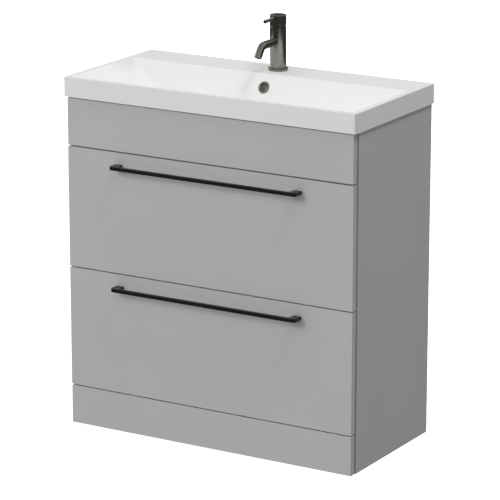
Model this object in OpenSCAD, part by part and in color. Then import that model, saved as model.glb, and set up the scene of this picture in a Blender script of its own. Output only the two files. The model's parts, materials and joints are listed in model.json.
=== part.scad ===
// Floor-standing two-drawer bathroom vanity with a ceramic basin and a single-lever mixer tap.
// Millimetres, +Z up, +X to the viewer's right, +Y towards the wall.
// The origin lies on the floor under the middle of the whole unit, handles included.

/* [Cabinet] */
// Width over the two side panels
cabinet_w = 800; // [660:10:1200]
// Height from the floor to the underside of the basin
cabinet_h = 834; // [695:1:1010]
// Thickness of the carcass boards
board_t = 18; // [15:1:22]
// Clear space left between the carcass and the wall, under the basin
wall_setback = 4.5; // [2:0.5:12]
// Height of the two rear rails
rear_rail_h = 100; // [70:5:120]
// Height of the rail behind the fascia
fascia_rail_h = 60; // [40:5:70]
// Radius of the two wall-fixing holes
wall_hole_r = 3.5; // [2.5:0.5:5]
// Distance of each wall-fixing hole from the outside of the cabinet
wall_hole_inset = 100; // [60:5:150]

/* [Fronts] */
// Thickness of the drawer fronts, fascia and plinth
front_t = 18; // [15:1:22]
// Gap between two fronts
front_gap = 3; // [2:0.5:5]
// How far each front stops short of the cabinet's outer face
side_reveal = 2; // [1:0.5:4]
// Gap between the fronts and the carcass
carcass_gap = 2.5; // [2:0.5:4]
// Height of the plinth
plinth_h = 98; // [80:1:120]
// Height of the fixed fascia in front of the bowl
fascia_h = 118; // [95:1:142]
// Radius of a soft buffer behind a drawer front
buffer_r = 4; // [3:0.5:5]

/* [Handles] */
// Length over the two feet
handle_len = 520; // [200:10:560]
// Height of the bar
handle_h = 9; // [7:0.5:12]
// Depth of the bar, front to back
handle_bar_t = 8; // [6:0.5:10]
// How far the bar's front stands off the drawer front
handle_out = 30; // [25:1:36]
// Width of each foot where it meets the drawer front
handle_foot_w = 20; // [16:1:26]
// Height of the bar's centre below the top of its drawer front
handle_drop = 33; // [20:1:60]
// Radius of a handle screw
handle_screw_r = 2; // [1.5:0.25:2.5]

/* [Drawers] */
// Clear depth for pipes between the drawers and the rear rails
pipe_space = 47; // [40:1:80]
// Height of the drawer box above the lower edge of its front
box_lift = 11; // [8:1:16]
// Width of a steel drawer side
side_w = 12.5; // [10:0.5:16]
// Height of a steel drawer side
side_h = 90; // [70:1:110]
// Sheet thickness of the steel drawer sides
sheet_t = 1.2; // [0.8:0.1:2]
// Thickness of the drawer base and back
box_board_t = 16; // [12:1:18]
// Height of the drawer back
back_h = 170; // [140:1:200]
// Radius of a gallery rod
rod_r = 5; // [4:0.5:6]
// Width of the cut-out that the upper drawer leaves round the trap
trap_bay_w = 170; // [140:5:220]
// Board thickness of the surround of that cut-out
surround_t = 12; // [9:1:16]

/* [Runners] */
// Height of the rail that is screwed to the cabinet
rail_h = 45; // [40:1:50]
// Steel thickness of the runner members
rail_t = 1.2; // [1:0.1:1.5]
// Height of the ball race between two members
race_h = 2.2; // [1.8:0.1:3]
// Depth of the drawer box that stays inside the cabinet when it is fully open
runner_overlap = 20; // [15:1:60]

/* [Basin] */
// How far the basin overhangs each side of the cabinet
basin_side_lip = 5; // [2:1:10]
// How far the basin overhangs the fronts
basin_front_lip = 5; // [2:1:10]
// Depth of the basin, front to back
basin_d = 395; // [340:5:475]
// Height of the basin's straight edge
basin_edge_h = 48; // [40:1:58]
// Width of the flat rim round the bowl
rim_w = 13; // [10:1:20]
// Depth of the flat deck behind the bowl, where the tap stands
deck_d = 108; // [95:1:125]
// Depth of the bowl below the rim
bowl_depth = 112; // [95:1:130]
// Slope of the two end ramps of the bowl, from the horizontal
ramp_slope = 31; // [27:1:40]
// Slope of the bowl's back wall, from the horizontal
back_slope = 65; // [60:1:75]
// Slope of the bowl's front wall, from the horizontal
front_slope = 58; // [52:1:60]
// Radius between the bowl's walls and its floor
floor_r = 30; // [20:1:36]
// Thickness of the ceramic
shell_t = 13; // [10:1:15]
// Thickness of the deck and of the straight edge
skirt_t = 12; // [10:1:15]
// Depth of the overflow below the rim
overflow_drop = 32; // [28:1:45]
// Outer radius of the overflow ring
overflow_ring_r = 15.5; // [13:0.5:18]

/* [Waste and trap] */
// Outer radius of the waste's tail
tail_r = 20.5; // [19:0.5:22]
// Length of the waste below its flange
tail_len = 80; // [76:1:95]
// Radius of the waste's flange
flange_r = 32; // [30:1:35]
// Radius of the click-clack plug
plug_r = 30; // [26:1:32]
// Travel of the plug, from open to shut
plug_travel = 9; // [6:1:12]
// Outer radius of the trap's outlet pipe
pipe_r = 16; // [16:1:20]
// Length of the pipe that goes into the wall's socket
spigot_len = 50; // [30:5:60]
// Height of the trap's bottle
bottle_h = 110; // [90:1:125]

/* [Tap] */
// Radius of the tap's body and handle
tap_r = 20.5; // [17:0.5:25]
// Height of the tap above the deck
tap_h = 138; // [125:1:165]
// Height of the turning handle
tap_cap_h = 28; // [25:1:34]
// Groove between the body and the handle
tap_groove = 2; // [1.5:0.25:3]
// Distance of the tap's centre from the back of the basin
tap_inset = 55; // [45:1:65]
// Reach of the spout, from the tap's centre to the middle of its mouth
spout_reach = 97; // [85:1:130]
// Height of the spout's arm above the deck
spout_h = 72.5; // [64:0.5:78]
// Outer radius of the spout
spout_r = 10; // [8.5:0.5:11]
// Bend of the spout's end, down from the horizontal
spout_bend = 55; // [40:1:70]
// Reach of the lever pin, from the tap's centre
lever_reach = 64.5; // [50:0.5:75]
// Droop of the lever pin at rest, below the horizontal
lever_droop = 3; // [0:1:5]
// Angle by which the handle lifts to open the water
lever_lift = 20; // [12:1:20]

/* [Hidden] */
$fn = 64;

// Colours
lacquer = "darkgray";
inside_board = "silver";
ceramic = "white";
gunmetal = "dimgray";
black = "#2b2b2b";
zinc = "lightgray";
drawer_grey = "slategray";
plastic = "whitesmoke";
rubber = "gray";

// Clearances between pieces that fit together
fit = 0.1;        // pushed together by hand
running = 0.05;   // turns or slides
cut = 1;          // how far a cutting shape runs past the face it cuts

// Depths: y of the main planes, from the front of the handles to the back of the basin
unit_d = handle_out + basin_d - basin_front_lip;
front_y = handle_out - unit_d / 2;
front_back_y = front_y + front_t;
carcass_y = front_back_y + carcass_gap;
basin_y = front_y - basin_front_lip;
basin_back_y = basin_y + basin_d;
carcass_back_y = basin_back_y - wall_setback;
carcass_d = carcass_back_y - carcass_y;

// Widths
inner_w = cabinet_w - 2 * board_t;
front_w = cabinet_w - 2 * side_reveal;
basin_w = cabinet_w + 2 * basin_side_lip;

// Heights: lower edge of each front
drawer_front_h = (cabinet_h - plinth_h - fascia_h - 4 * front_gap) / 2;
lower_z = plinth_h + front_gap;
upper_z = lower_z + drawer_front_h + front_gap;
fascia_z = upper_z + drawer_front_h + front_gap;
rim_z = cabinet_h + basin_edge_h;

// Bowl
bowl_half_w = basin_w / 2 - rim_w;
bowl_front_y = basin_y + rim_w;
bowl_back_y = basin_back_y - deck_d;
floor_z = rim_z - bowl_depth;
// How far in from the rim the floor's rounding has its centre, under a wall of a given slope
function rounding_inset(slope) = (floor_r + (bowl_depth - floor_r) * cos(slope)) / sin(slope);
floor_half_w = bowl_half_w - rounding_inset(ramp_slope);
floor_front_y = bowl_front_y + rounding_inset(front_slope);
floor_back_y = bowl_back_y - rounding_inset(back_slope);
// y of the bowl's back wall at a height
function back_wall_y(z) = bowl_back_y - (rim_z - z) / tan(back_slope);
overflow_z = rim_z - overflow_drop;

// Overflow duct behind the bowl
overflow_hole_r = overflow_ring_r - 4;
duct_w = 28;
duct_t = 9;
duct_wall = 8;
// Ceramic left between the bowl and the duct at the overflow hole, where the wall thins
overflow_wall = 8;
overflow_near = overflow_wall / sin(back_slope);
duct_near = shell_t / sin(back_slope);
duct_far = duct_near + duct_t;

// Waste, from its flange down
waste_y = (floor_front_y + floor_back_y) / 2;
waste_seat_z = floor_z - 1;
boss_r = flange_r + 4;
boss_z = floor_z - 38;
waste_hole_r = tail_r + 2;
seal_t = 2;
flange_t = 3;
flange_z = waste_seat_z + seal_t;
tail_z = flange_z + flange_t - tail_len;
tail_bore_r = tail_r - 3.5;
channel_z = boss_z + 10;
channel_h = 12;
backnut_t = 8;
plug_t = 4;
plug_z = flange_z + flange_t + 1 + plug_travel;
plug_stem_r = 4;
spider_t = 6;
spider_z = channel_z - spider_t;

// Trap, hung on the waste's tail
socket_r = tail_r + 4;
socket_top_z = tail_z + 14;
trap_seat_z = tail_z - 4;
bottle_r = socket_r + 6;
bottle_top_z = trap_seat_z - 22;
bottle_wall = 3;
trap_split_z = bottle_top_z - bottle_h * 0.6;
outlet_z = bottle_top_z - 28;
nut_wall = 4;
outlet_stub_r = pipe_r + 3;
outlet_nut_y = waste_y + bottle_r + 14;

// Tap, standing on the deck
tap_y = basin_back_y - tap_inset;
body_top_z = rim_z + tap_h - tap_cap_h - tap_groove;
cap_z = rim_z + tap_h - tap_cap_h;
tap_hole_r = 17.5;
base_ring_r = tap_r + 4.5;
base_ring_h = 7;
shank_r = 16.5;
shank_z = rim_z - 10;
inlet_r = 5;
inlet_x = 7.5;
inlet_depth = 16;
stud_r = 4;
stud_y = tap_y + 10;
stud_grip = 20;
plate_t = 2.5;
plate_z = rim_z - skirt_t - plate_t;
stud_nut_t = 7;
cartridge_r = tap_r - 3;
cartridge_h = 18;
cartridge_nut_t = 5;
cartridge_nut_z = body_top_z - cartridge_nut_t;
cartridge_z = cartridge_nut_z - cartridge_h;
pivot_z = body_top_z + tap_groove / 2;
swivel_r = 8.8;
swivel_bore_r = 6.8;
swivel_z = cartridge_nut_z - 10;
pivot_r = 1.5;
spindle_r = 4;
spindle_z = pivot_z - 6;
cap_wall = 1.7;
cap_solid_h = 11;
cap_ceiling_z = cap_z + tap_cap_h - cap_solid_h;
dome_r = tap_r - cap_wall - 1.6;
dome_wall = 1.8;
dome_top_h = cap_ceiling_z - pivot_z - 4;
dome_hole_r = max(11, sqrt(max(0, pow(dome_r, 2) - pow(dome_top_h, 2))));
lever_z = cap_z + tap_cap_h - 6;
lever_r = 3.5;
lever_tip_r = 5;
lever_seat = 8;
grub_r = 2;
grub_len = 8;

// Spout: a straight arm, a bend and a straight end
spout_bend_r = 20;
spout_end_len = 21;
spout_arm_len = spout_reach - spout_bend_r * sin(spout_bend) - spout_end_len * cos(spout_bend);
spout_bore_r = spout_r - 3;
aerator_t = 5;
aerator_r = spout_r - 1.5;

// Drawer boxes and runners
runner_t = 13.2;
box_half_w = inner_w / 2 - runner_t;
box_len = carcass_back_y - board_t - pipe_space - front_back_y;
box_back_y = front_back_y + box_len;
box_inner_half_w = box_half_w - side_w - fit;
base_flange = 12;
drawer_travel = box_len - runner_overlap;
rod_x = box_half_w - side_w - 3 - rod_r;
rod_lift = back_h - 20;
rod_seat = 5;
bay_front_y = waste_y - 55;
runner_y = carcass_y + 2;
runner_len = box_len - 5;
runner_lift = 28;
race_gap = 0.2;

// Small fittings
cam_r = 7.5;
cam_depth = 12.5;
cam_inset = 34;
bracket_t = 2;
bracket_leg = 32;
bracket_w = 20;
bracket_hole_r = 2.2;
bracket_x = cabinet_w * 0.3;
buffer_edge = 15;

// ---- Shared shapes ----

// A box from one corner to the opposite one
module block(low, high) {
    translate(low) cube(high - low);
}

// A board that reaches the same distance to both sides
module board(half_w, y0, y1, z0, z1) {
    block([-half_w, y0, z0], [half_w, y1, z1]);
}

// The children on the right, and their mirror image on the left
module both_sides() {
    for (side = [0, 1]) mirror([side, 0, 0]) children();
}

module rounded_rect(w, d, r) {
    translate([r, 0]) square([w - 2 * r, d]);
    translate([0, r]) square([w, d - 2 * r]);
    for (x = [r, w - r], y = [r, d - r]) translate([x, y]) circle(r);
}

// A pipe along Z from z0 to z1
module pipe(outer, inner, z0, z1) {
    difference() {
        translate([0, 0, z0]) cylinder(r = outer, h = z1 - z0);
        translate([0, 0, z0 - cut]) cylinder(r = inner, h = z1 - z0 + 2 * cut);
    }
}

// A hexagonal nut along Z with a round bore
module hex_nut(across_corners_r, bore_r, z0, t) {
    difference() {
        translate([0, 0, z0]) cylinder(r = across_corners_r, h = t, $fn = 6);
        translate([0, 0, z0 - cut]) cylinder(r = bore_r, h = t + 2 * cut);
    }
}

// A round bar along +Y, for holes and rods
module bar_y(r, x, y0, y1, z) {
    translate([x, y0, z]) rotate([-90, 0, 0]) cylinder(r = r, h = y1 - y0);
}

// ---- Carcass ----

module side_panel() {
    color(lacquer)
        block([inner_w / 2, carcass_y, 0], [cabinet_w / 2, carcass_back_y, cabinet_h]);
}

module left_side_panel() mirror([1, 0, 0]) side_panel();

module right_side_panel() side_panel();

// Centres of the cam fittings in a board that runs between the two side panels
module cam_in_face_y(y, z) {
    both_sides() bar_y(cam_r, inner_w / 2 - cam_inset, y, y + cam_depth, z);
}

module cams_under_base() {
    both_sides()
        for (y = [carcass_y + cam_inset * 2, carcass_back_y - cam_inset * 2])
            translate([inner_w / 2 - cam_inset, y, plinth_h - board_t]) cylinder(r = cam_r, h = cam_depth);
}

module cams_in_rails() {
    cam_in_face_y(front_back_y + board_t - cam_depth, fascia_z + fascia_rail_h / 2);
    cam_in_face_y(carcass_back_y - board_t, cabinet_h - rear_rail_h / 2);
    cam_in_face_y(carcass_back_y - board_t, plinth_h + rear_rail_h / 2);
}

module cam_fittings() {
    color(zinc) {
        cams_under_base();
        cams_in_rails();
    }
}

module base_panel() {
    color(inside_board) difference() {
        board(inner_w / 2, front_back_y, carcass_back_y, plinth_h - board_t, plinth_h);
        cams_under_base();
    }
}

module fascia_rail() {
    color(inside_board) difference() {
        board(inner_w / 2, front_back_y, front_back_y + board_t, fascia_z, fascia_z + fascia_rail_h);
        cams_in_rails();
    }
}

module wall_holes() {
    both_sides()
        bar_y(wall_hole_r, cabinet_w / 2 - wall_hole_inset, carcass_back_y - board_t - cut,
            carcass_back_y + cut, cabinet_h - rear_rail_h / 2);
}

module rear_top_rail() {
    color(inside_board) difference() {
        board(inner_w / 2, carcass_back_y - board_t, carcass_back_y, cabinet_h - rear_rail_h, cabinet_h);
        cams_in_rails();
        wall_holes();
    }
}

module rear_bottom_rail() {
    color(inside_board) difference() {
        board(inner_w / 2, carcass_back_y - board_t, carcass_back_y, plinth_h, plinth_h + rear_rail_h);
        cams_in_rails();
    }
}

module top_fascia() {
    color(lacquer) board(front_w / 2, front_y, front_back_y, fascia_z, fascia_z + fascia_h);
}

module plinth() {
    color(lacquer) board(front_w / 2, front_y, front_back_y, 0, plinth_h);
}

// One steel angle that ties the plinth to the base panel
module plinth_bracket(x) {
    under_z = plinth_h - board_t;
    difference() {
        union() {
            block([x - bracket_w / 2, front_back_y, under_z - bracket_t],
                [x + bracket_w / 2, front_back_y + bracket_leg, under_z]);
            block([x - bracket_w / 2, front_back_y, under_z - bracket_leg],
                [x + bracket_w / 2, front_back_y + bracket_t, under_z]);
        }
        translate([x, front_back_y + bracket_leg * 0.65, under_z - bracket_t - cut])
            cylinder(r = bracket_hole_r, h = bracket_t + cut * 0.9);
        bar_y(bracket_hole_r, x, front_back_y - cut, front_back_y + bracket_t + cut,
            under_z - bracket_leg * 0.65);
    }
}

module plinth_brackets() {
    color(zinc) for (x = [-bracket_x, 0, bracket_x]) plinth_bracket(x);
}

// ---- Basin ----

// The bowl's hollow, or its outside when grown by the thickness of the ceramic.
// It starts at a depth below the rim and reaches up by top_h from there.
module bowl_form(grow, depth, top_h) {
    x = bowl_half_w + grow / sin(ramp_slope) - depth / tan(ramp_slope);
    y0 = bowl_front_y - grow / sin(front_slope) + depth / tan(front_slope);
    y1 = bowl_back_y + grow / sin(back_slope) - depth / tan(back_slope);
    hull() {
        board(x, y0, y1, rim_z - depth, rim_z - depth + top_h);
        for (side = [-1, 1], y = [floor_front_y, floor_back_y])
            translate([side * floor_half_w, y, floor_z + floor_r]) sphere(r = floor_r + grow, $fn = 32);
    }
}

module basin_slab() {
    corner_r = 5;
    difference() {
        translate([-basin_w / 2, basin_y, cabinet_h])
            linear_extrude(basin_edge_h) rounded_rect(basin_w, basin_d, corner_r);
        board(basin_w / 2 - skirt_t, basin_y + skirt_t, basin_back_y - skirt_t,
            cabinet_h - cut, rim_z - skirt_t);
    }
}

// Side view of the overflow duct, as y and z, extruded across the basin
module duct_extrude(w) {
    translate([-w / 2, 0, 0]) rotate([90, 0, 90]) linear_extrude(w) children();
}

module duct_block() {
    top_z = overflow_z + overflow_hole_r + duct_wall;
    duct_extrude(duct_w + 2 * duct_wall)
        polygon([
            [back_wall_y(top_z) + duct_near / 2, top_z],
            [back_wall_y(top_z) + duct_far + duct_wall, top_z],
            [back_wall_y(boss_z) + duct_far + duct_wall, boss_z],
            [waste_y, boss_z],
            [waste_y, floor_z - duct_wall / 2]
        ]);
}

module duct_hollow() {
    top_z = overflow_z + overflow_hole_r;
    channel_top_z = channel_z + channel_h;
    duct_extrude(duct_w)
        polygon([
            [back_wall_y(top_z) + overflow_near, top_z],
            [back_wall_y(top_z) + overflow_near + duct_t, top_z],
            [back_wall_y(channel_z) + duct_far, channel_z],
            [waste_y, channel_z],
            [waste_y, channel_top_z],
            [back_wall_y(channel_top_z) + duct_near, channel_top_z]
        ]);
}

// Moves the children to the overflow's centre, with +Z out of the bowl's back wall
module at_overflow() {
    translate([0, back_wall_y(overflow_z), overflow_z]) rotate([back_slope, 0, 0]) children();
}

module at_waste() {
    translate([0, waste_y, 0]) children();
}

module basin() {
    color(ceramic) difference() {
        union() {
            basin_slab();
            bowl_form(shell_t, skirt_t, skirt_t / 4);
            duct_block();
            at_waste() translate([0, 0, boss_z]) cylinder(r = boss_r, h = floor_z - boss_z);
        }
        bowl_form(0, 0, cut);
        duct_hollow();
        at_overflow() translate([0, 0, -overflow_wall - duct_t / 2])
            cylinder(r = overflow_hole_r, h = overflow_wall + duct_t);
        at_waste() {
            translate([0, 0, boss_z - cut]) cylinder(r = waste_hole_r, h = bowl_depth);
            translate([0, 0, waste_seat_z]) cylinder(r = boss_r, h = floor_r);
        }
        translate([0, tap_y, rim_z - 2 * skirt_t]) cylinder(r = tap_hole_r, h = 2 * skirt_t + cut);
    }
}

module overflow_ring() {
    lip_t = 2;
    tube_len = 5;
    color(gunmetal) at_overflow() difference() {
        union() {
            translate([0, 0, fit]) cylinder(r = overflow_ring_r, h = lip_t);
            translate([0, 0, -tube_len]) cylinder(r = overflow_hole_r - fit, h = tube_len + lip_t);
        }
        translate([0, 0, -tube_len - cut])
            cylinder(r = overflow_hole_r - 2.5, h = tube_len + lip_t + 2 * cut);
    }
}

// ---- Waste and trap ----

module waste_body() {
    hub_r = plug_stem_r + 3;
    color(gunmetal) at_waste() difference() {
        union() {
            pipe(tail_r, tail_bore_r, tail_z, flange_z + flange_t);
            pipe(flange_r, tail_bore_r, flange_z, flange_z + flange_t);
            translate([0, 0, spider_z]) cylinder(r = hub_r, h = spider_t);
            block([-tail_bore_r - cut, -2, spider_z], [tail_bore_r + cut, 2, spider_z + spider_t]);
        }
        translate([0, 0, spider_z - cut])
            cylinder(r = plug_stem_r + 2 * fit, h = spider_t + 2 * cut);
        block([-duct_w / 4, -tail_r - cut, channel_z], [duct_w / 4, tail_r + cut, channel_z + channel_h]);
    }
}

module waste_seals() {
    color(rubber) at_waste()
        for (z = [waste_seat_z, boss_z - seal_t]) pipe(flange_r - 2, tail_r + fit, z, z + seal_t);
}

module waste_backnut() {
    color(gunmetal) at_waste() hex_nut(flange_r, tail_r + fit, boss_z - seal_t - backnut_t, backnut_t);
}

module waste_plug() {
    color(gunmetal) at_waste() {
        translate([0, 0, plug_z]) cylinder(r = plug_r, h = plug_t);
        translate([0, 0, spider_z - plug_stem_r])
            cylinder(r = plug_stem_r, h = plug_z - spider_z + plug_stem_r);
        translate([0, 0, plug_z - seal_t]) cylinder(r = tail_bore_r - 2, h = seal_t);
    }
}

module trap_body() {
    dip_r = tail_bore_r - 4;
    shell_z = trap_split_z + fit;
    color(plastic) at_waste() difference() {
        union() {
            pipe(socket_r, tail_r + fit, trap_seat_z, socket_top_z);
            pipe(socket_r, dip_r, bottle_top_z, trap_seat_z);
            pipe(bottle_r, bottle_r - bottle_wall, shell_z, bottle_top_z);
            pipe(bottle_r, dip_r, bottle_top_z - bottle_wall, bottle_top_z);
            pipe(dip_r + 2, dip_r, shell_z - 20, bottle_top_z);
            bar_y(outlet_stub_r, 0, bottle_r - bottle_wall - 2, outlet_nut_y - waste_y + 10, outlet_z);
        }
        bar_y(pipe_r + fit, 0, bottle_r - 1, outlet_nut_y - waste_y + 10 + cut, outlet_z);
        bar_y(pipe_r - 2, 0, bottle_r - bottle_wall - 2 - cut, bottle_r, outlet_z);
    }
}

module trap_cup() {
    floor_t = 4;
    bottom_z = bottle_top_z - bottle_h;
    collar_h = 14;
    color(plastic) at_waste() difference() {
        union() {
            translate([0, 0, bottom_z]) cylinder(r = bottle_r, h = trap_split_z - bottom_z);
            translate([0, 0, trap_split_z - collar_h])
                cylinder(r = bottle_r + nut_wall, h = 2 * collar_h, $fn = 12);
        }
        translate([0, 0, bottom_z + floor_t]) cylinder(r = bottle_r - bottle_wall, h = bottle_h);
        translate([0, 0, trap_split_z]) cylinder(r = bottle_r + fit, h = collar_h + cut);
    }
}

module trap_inlet_nut() {
    nut_h = 20;
    lip_h = 6;
    color(plastic) at_waste() difference() {
        translate([0, 0, socket_top_z + lip_h - nut_h])
            cylinder(r = socket_r + nut_wall, h = nut_h, $fn = 12);
        translate([0, 0, socket_top_z - nut_h]) cylinder(r = socket_r + fit, h = nut_h + fit);
        translate([0, 0, socket_top_z]) cylinder(r = tail_r + fit, h = lip_h + cut);
    }
}

module trap_outlet_nut() {
    nut_h = 18;
    lip_h = 6;
    end_y = outlet_nut_y + 10;
    color(plastic) difference() {
        translate([0, end_y + lip_h, outlet_z]) rotate([90, 0, 0])
            cylinder(r = outlet_stub_r + nut_wall, h = nut_h, $fn = 12);
        bar_y(outlet_stub_r + fit, 0, end_y - nut_h, end_y + fit, outlet_z);
        bar_y(pipe_r + fit, 0, end_y, end_y + lip_h + cut, outlet_z);
    }
}

// Pipe to the wall, with a ring that stops it in the wall's socket
module trap_outlet_pipe() {
    ring_y = carcass_back_y - spigot_len;
    color(plastic) difference() {
        union() {
            bar_y(pipe_r, 0, waste_y + bottle_r, carcass_back_y, outlet_z);
            bar_y(pipe_r + 2, 0, ring_y - 3, ring_y, outlet_z);
        }
        bar_y(pipe_r - 2, 0, waste_y + bottle_r - cut, carcass_back_y + cut, outlet_z);
    }
}

// ---- Tap ----

module at_tap() {
    translate([0, tap_y, 0]) children();
}

module tap_body() {
    edge = 1.5;
    straight_h = body_top_z - rim_z - edge;
    color(gunmetal) difference() {
        at_tap() union() {
            translate([0, 0, rim_z]) cylinder(r = tap_r, h = straight_h);
            translate([0, 0, rim_z + straight_h]) cylinder(r1 = tap_r, r2 = tap_r - edge, h = edge);
            translate([0, 0, shank_z]) cylinder(r = shank_r, h = rim_z - shank_z + cut);
        }
        at_tap() translate([0, 0, cartridge_z]) cylinder(r = cartridge_r + fit, h = tap_h);
        bar_y(spout_r, 0, tap_y - tap_r - cut, tap_y - 12, rim_z + spout_h);
        bar_y(spout_bore_r, 0, tap_y - 13, tap_y, rim_z + spout_h);
        at_tap() translate([0, 0, rim_z + spout_h]) cylinder(r = spout_bore_r - 1, h = tap_h);
        for (x = [-inlet_x, inlet_x])
            translate([x, tap_y - 2, shank_z - cut]) cylinder(r = inlet_r, h = inlet_depth + cut);
        translate([0, stud_y, shank_z - cut]) cylinder(r = stud_r + fit, h = stud_grip + cut);
    }
}

module tap_base_ring() {
    edge = 1.5;
    color(gunmetal) at_tap() difference() {
        union() {
            translate([0, 0, rim_z]) cylinder(r = base_ring_r, h = base_ring_h - edge);
            translate([0, 0, rim_z + base_ring_h - edge])
                cylinder(r1 = base_ring_r, r2 = base_ring_r - edge, h = edge);
        }
        translate([0, 0, rim_z - cut]) cylinder(r = tap_r + fit, h = base_ring_h + 2 * cut);
    }
}

// A round bar along the spout's centre line, from inside the body to the mouth.
// The arm is a hair thinner than the bend, which starts inside it.
module spout_bar(r, mouth_extra) {
    lap = 2;
    translate([0, tap_y, rim_z + spout_h]) rotate([0, -90, 0]) rotate([0, 0, 180]) {
        arm_from = 12;
        translate([0, arm_from, 0]) rotate([-90, 0, 0])
            cylinder(r = r - running, h = spout_arm_len - arm_from);
        translate([spout_bend_r, spout_arm_len, 0]) rotate([0, 0, 180 - spout_bend])
            rotate_extrude(angle = spout_bend + lap) translate([spout_bend_r, 0]) circle(r);
        translate([spout_bend_r, spout_arm_len, 0]) rotate([0, 0, -spout_bend])
            translate([-spout_bend_r, 0, 0]) rotate([-90, 0, 0])
                cylinder(r = r, h = spout_end_len + mouth_extra);
    }
}

// Moves the children to the middle of the spout's mouth, with +Z out of it
module at_spout_mouth() {
    y = spout_arm_len + spout_bend_r * sin(spout_bend) + spout_end_len * cos(spout_bend);
    z = spout_h - spout_bend_r * (1 - cos(spout_bend)) - spout_end_len * sin(spout_bend);
    translate([0, tap_y - y, rim_z + z]) rotate([90 + spout_bend, 0, 0]) children();
}

module tap_spout() {
    color(gunmetal) difference() {
        spout_bar(spout_r, 0);
        spout_bar(spout_bore_r, cut);
        bar_y(spout_bore_r, 0, tap_y - 14, tap_y - 12 + cut, rim_z + spout_h);
        at_spout_mouth() translate([0, 0, -aerator_t - 1]) cylinder(r = aerator_r, h = aerator_t + 1 + cut);
    }
}

module tap_aerator() {
    hole_r = 1.3;
    color(zinc) at_spout_mouth() difference() {
        translate([0, 0, -aerator_t - 1]) cylinder(r = aerator_r - fit / 2, h = aerator_t);
        translate([0, 0, -aerator_t - 1 - cut]) {
            cylinder(r = hole_r, h = aerator_t + 2 * cut);
            for (a = [0:60:300]) rotate(a) translate([aerator_r * 0.55, 0, 0])
                cylinder(r = hole_r, h = aerator_t + 2 * cut);
        }
    }
}

module tap_cartridge() {
    color(plastic) at_tap() difference() {
        translate([0, 0, cartridge_z]) cylinder(r = cartridge_r, h = cartridge_h);
        translate([0, 0, swivel_z - fit]) cylinder(r = swivel_r + running, h = cartridge_h);
    }
}

// Ring nut over the cartridge, with a dome that closes the gap under the tilting handle
module tap_cartridge_nut() {
    color(gunmetal) at_tap() {
        pipe(cartridge_r, swivel_r + running, cartridge_nut_z, body_top_z);
        difference() {
            translate([0, 0, pivot_z]) sphere(r = dome_r);
            translate([0, 0, pivot_z]) sphere(r = dome_r - dome_wall);
            translate([0, 0, pivot_z]) cylinder(r = dome_hole_r, h = dome_r + cut);
            translate([0, 0, body_top_z - 2 * dome_r]) cylinder(r = 2 * dome_r, h = 2 * dome_r);
        }
    }
}

module tap_swivel_cup() {
    color(plastic) at_tap() {
        difference() {
            translate([0, 0, swivel_z]) cylinder(r = swivel_r, h = pivot_z + 3.5 - swivel_z);
            translate([0, 0, spindle_z - 1.5]) cylinder(r = swivel_bore_r, h = tap_cap_h);
        }
        translate([-swivel_bore_r - 1, 0, pivot_z]) rotate([0, 90, 0])
            cylinder(r = pivot_r, h = 2 * swivel_bore_r + 2);
    }
}

module tap_spindle() {
    color(zinc) at_tap() difference() {
        translate([0, 0, spindle_z]) cylinder(r = spindle_r, h = cap_ceiling_z + 5 - spindle_z);
        translate([-spindle_r - cut, 0, pivot_z]) rotate([0, 90, 0])
            cylinder(r = pivot_r + running, h = 2 * spindle_r + 2 * cut);
    }
}

module tap_handle_cap() {
    edge = 1.2;
    top_z = cap_z + tap_cap_h;
    color(gunmetal) difference() {
        at_tap() union() {
            translate([0, 0, cap_z]) cylinder(r = tap_r, h = tap_cap_h - edge);
            translate([0, 0, top_z - edge]) cylinder(r1 = tap_r, r2 = tap_r - edge, h = edge);
        }
        at_tap() translate([0, 0, cap_z - cut])
            cylinder(r = tap_r - cap_wall, h = cap_ceiling_z - cap_z + cut);
        at_tap() translate([0, 0, cap_ceiling_z - cut]) cylinder(r = spindle_r + running, h = 6 + cut);
        at_tap() translate([0, 0, cap_z]) rotate([lever_lift, 0, 0])
            block([-tap_cap_h, 0, -tap_cap_h], [tap_cap_h, 2 * tap_r, 0]);
        at_lever() translate([0, 0, -lever_seat]) cylinder(r = lever_r + running, h = lever_seat + tap_r);
        bar_y(grub_r + running, 0, tap_y + spindle_r, tap_y + tap_r + cut, cap_ceiling_z + 3);
    }
}

// Moves the children to where the lever leaves the handle, with +Z along the lever
module at_lever() {
    translate([0, tap_y - tap_r, lever_z]) rotate([90 + lever_droop, 0, 0]) children();
}

module tap_lever_pin() {
    edge = 1;
    len = lever_reach - tap_r;
    color(gunmetal) at_lever() {
        translate([0, 0, fit - lever_seat]) cylinder(r = lever_r, h = lever_seat - fit);
        cylinder(r1 = lever_r, r2 = lever_tip_r, h = len - edge);
        translate([0, 0, len - edge]) cylinder(r1 = lever_tip_r, r2 = lever_tip_r - edge, h = edge);
    }
}

module tap_grub_screw() {
    y = tap_y + spindle_r + fit;
    color(zinc) bar_y(grub_r, 0, y, y + grub_len, cap_ceiling_z + 3);
}

module tap_fixing_stud() {
    hang = 28;
    color(zinc) translate([0, stud_y, plate_z - hang])
        cylinder(r = stud_r, h = shank_z + stud_grip - plate_z + hang);
}

module tap_fixing_plate() {
    opening = 2 * (inlet_x + inlet_r + 2);
    color(zinc) difference() {
        at_tap() translate([0, 0, plate_z]) cylinder(r = tap_hole_r + 6.5, h = plate_t);
        translate([-opening / 2, tap_y - tap_hole_r - 10, plate_z - cut])
            cube([opening, tap_hole_r + 14, plate_t + 2 * cut]);
        translate([0, stud_y, plate_z - cut]) cylinder(r = stud_r + fit, h = plate_t + 2 * cut);
    }
}

module tap_fixing_nut() {
    color(zinc) translate([0, stud_y, 0]) hex_nut(7.5, stud_r + fit, plate_z - stud_nut_t, stud_nut_t);
}

// ---- Runners ----

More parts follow.
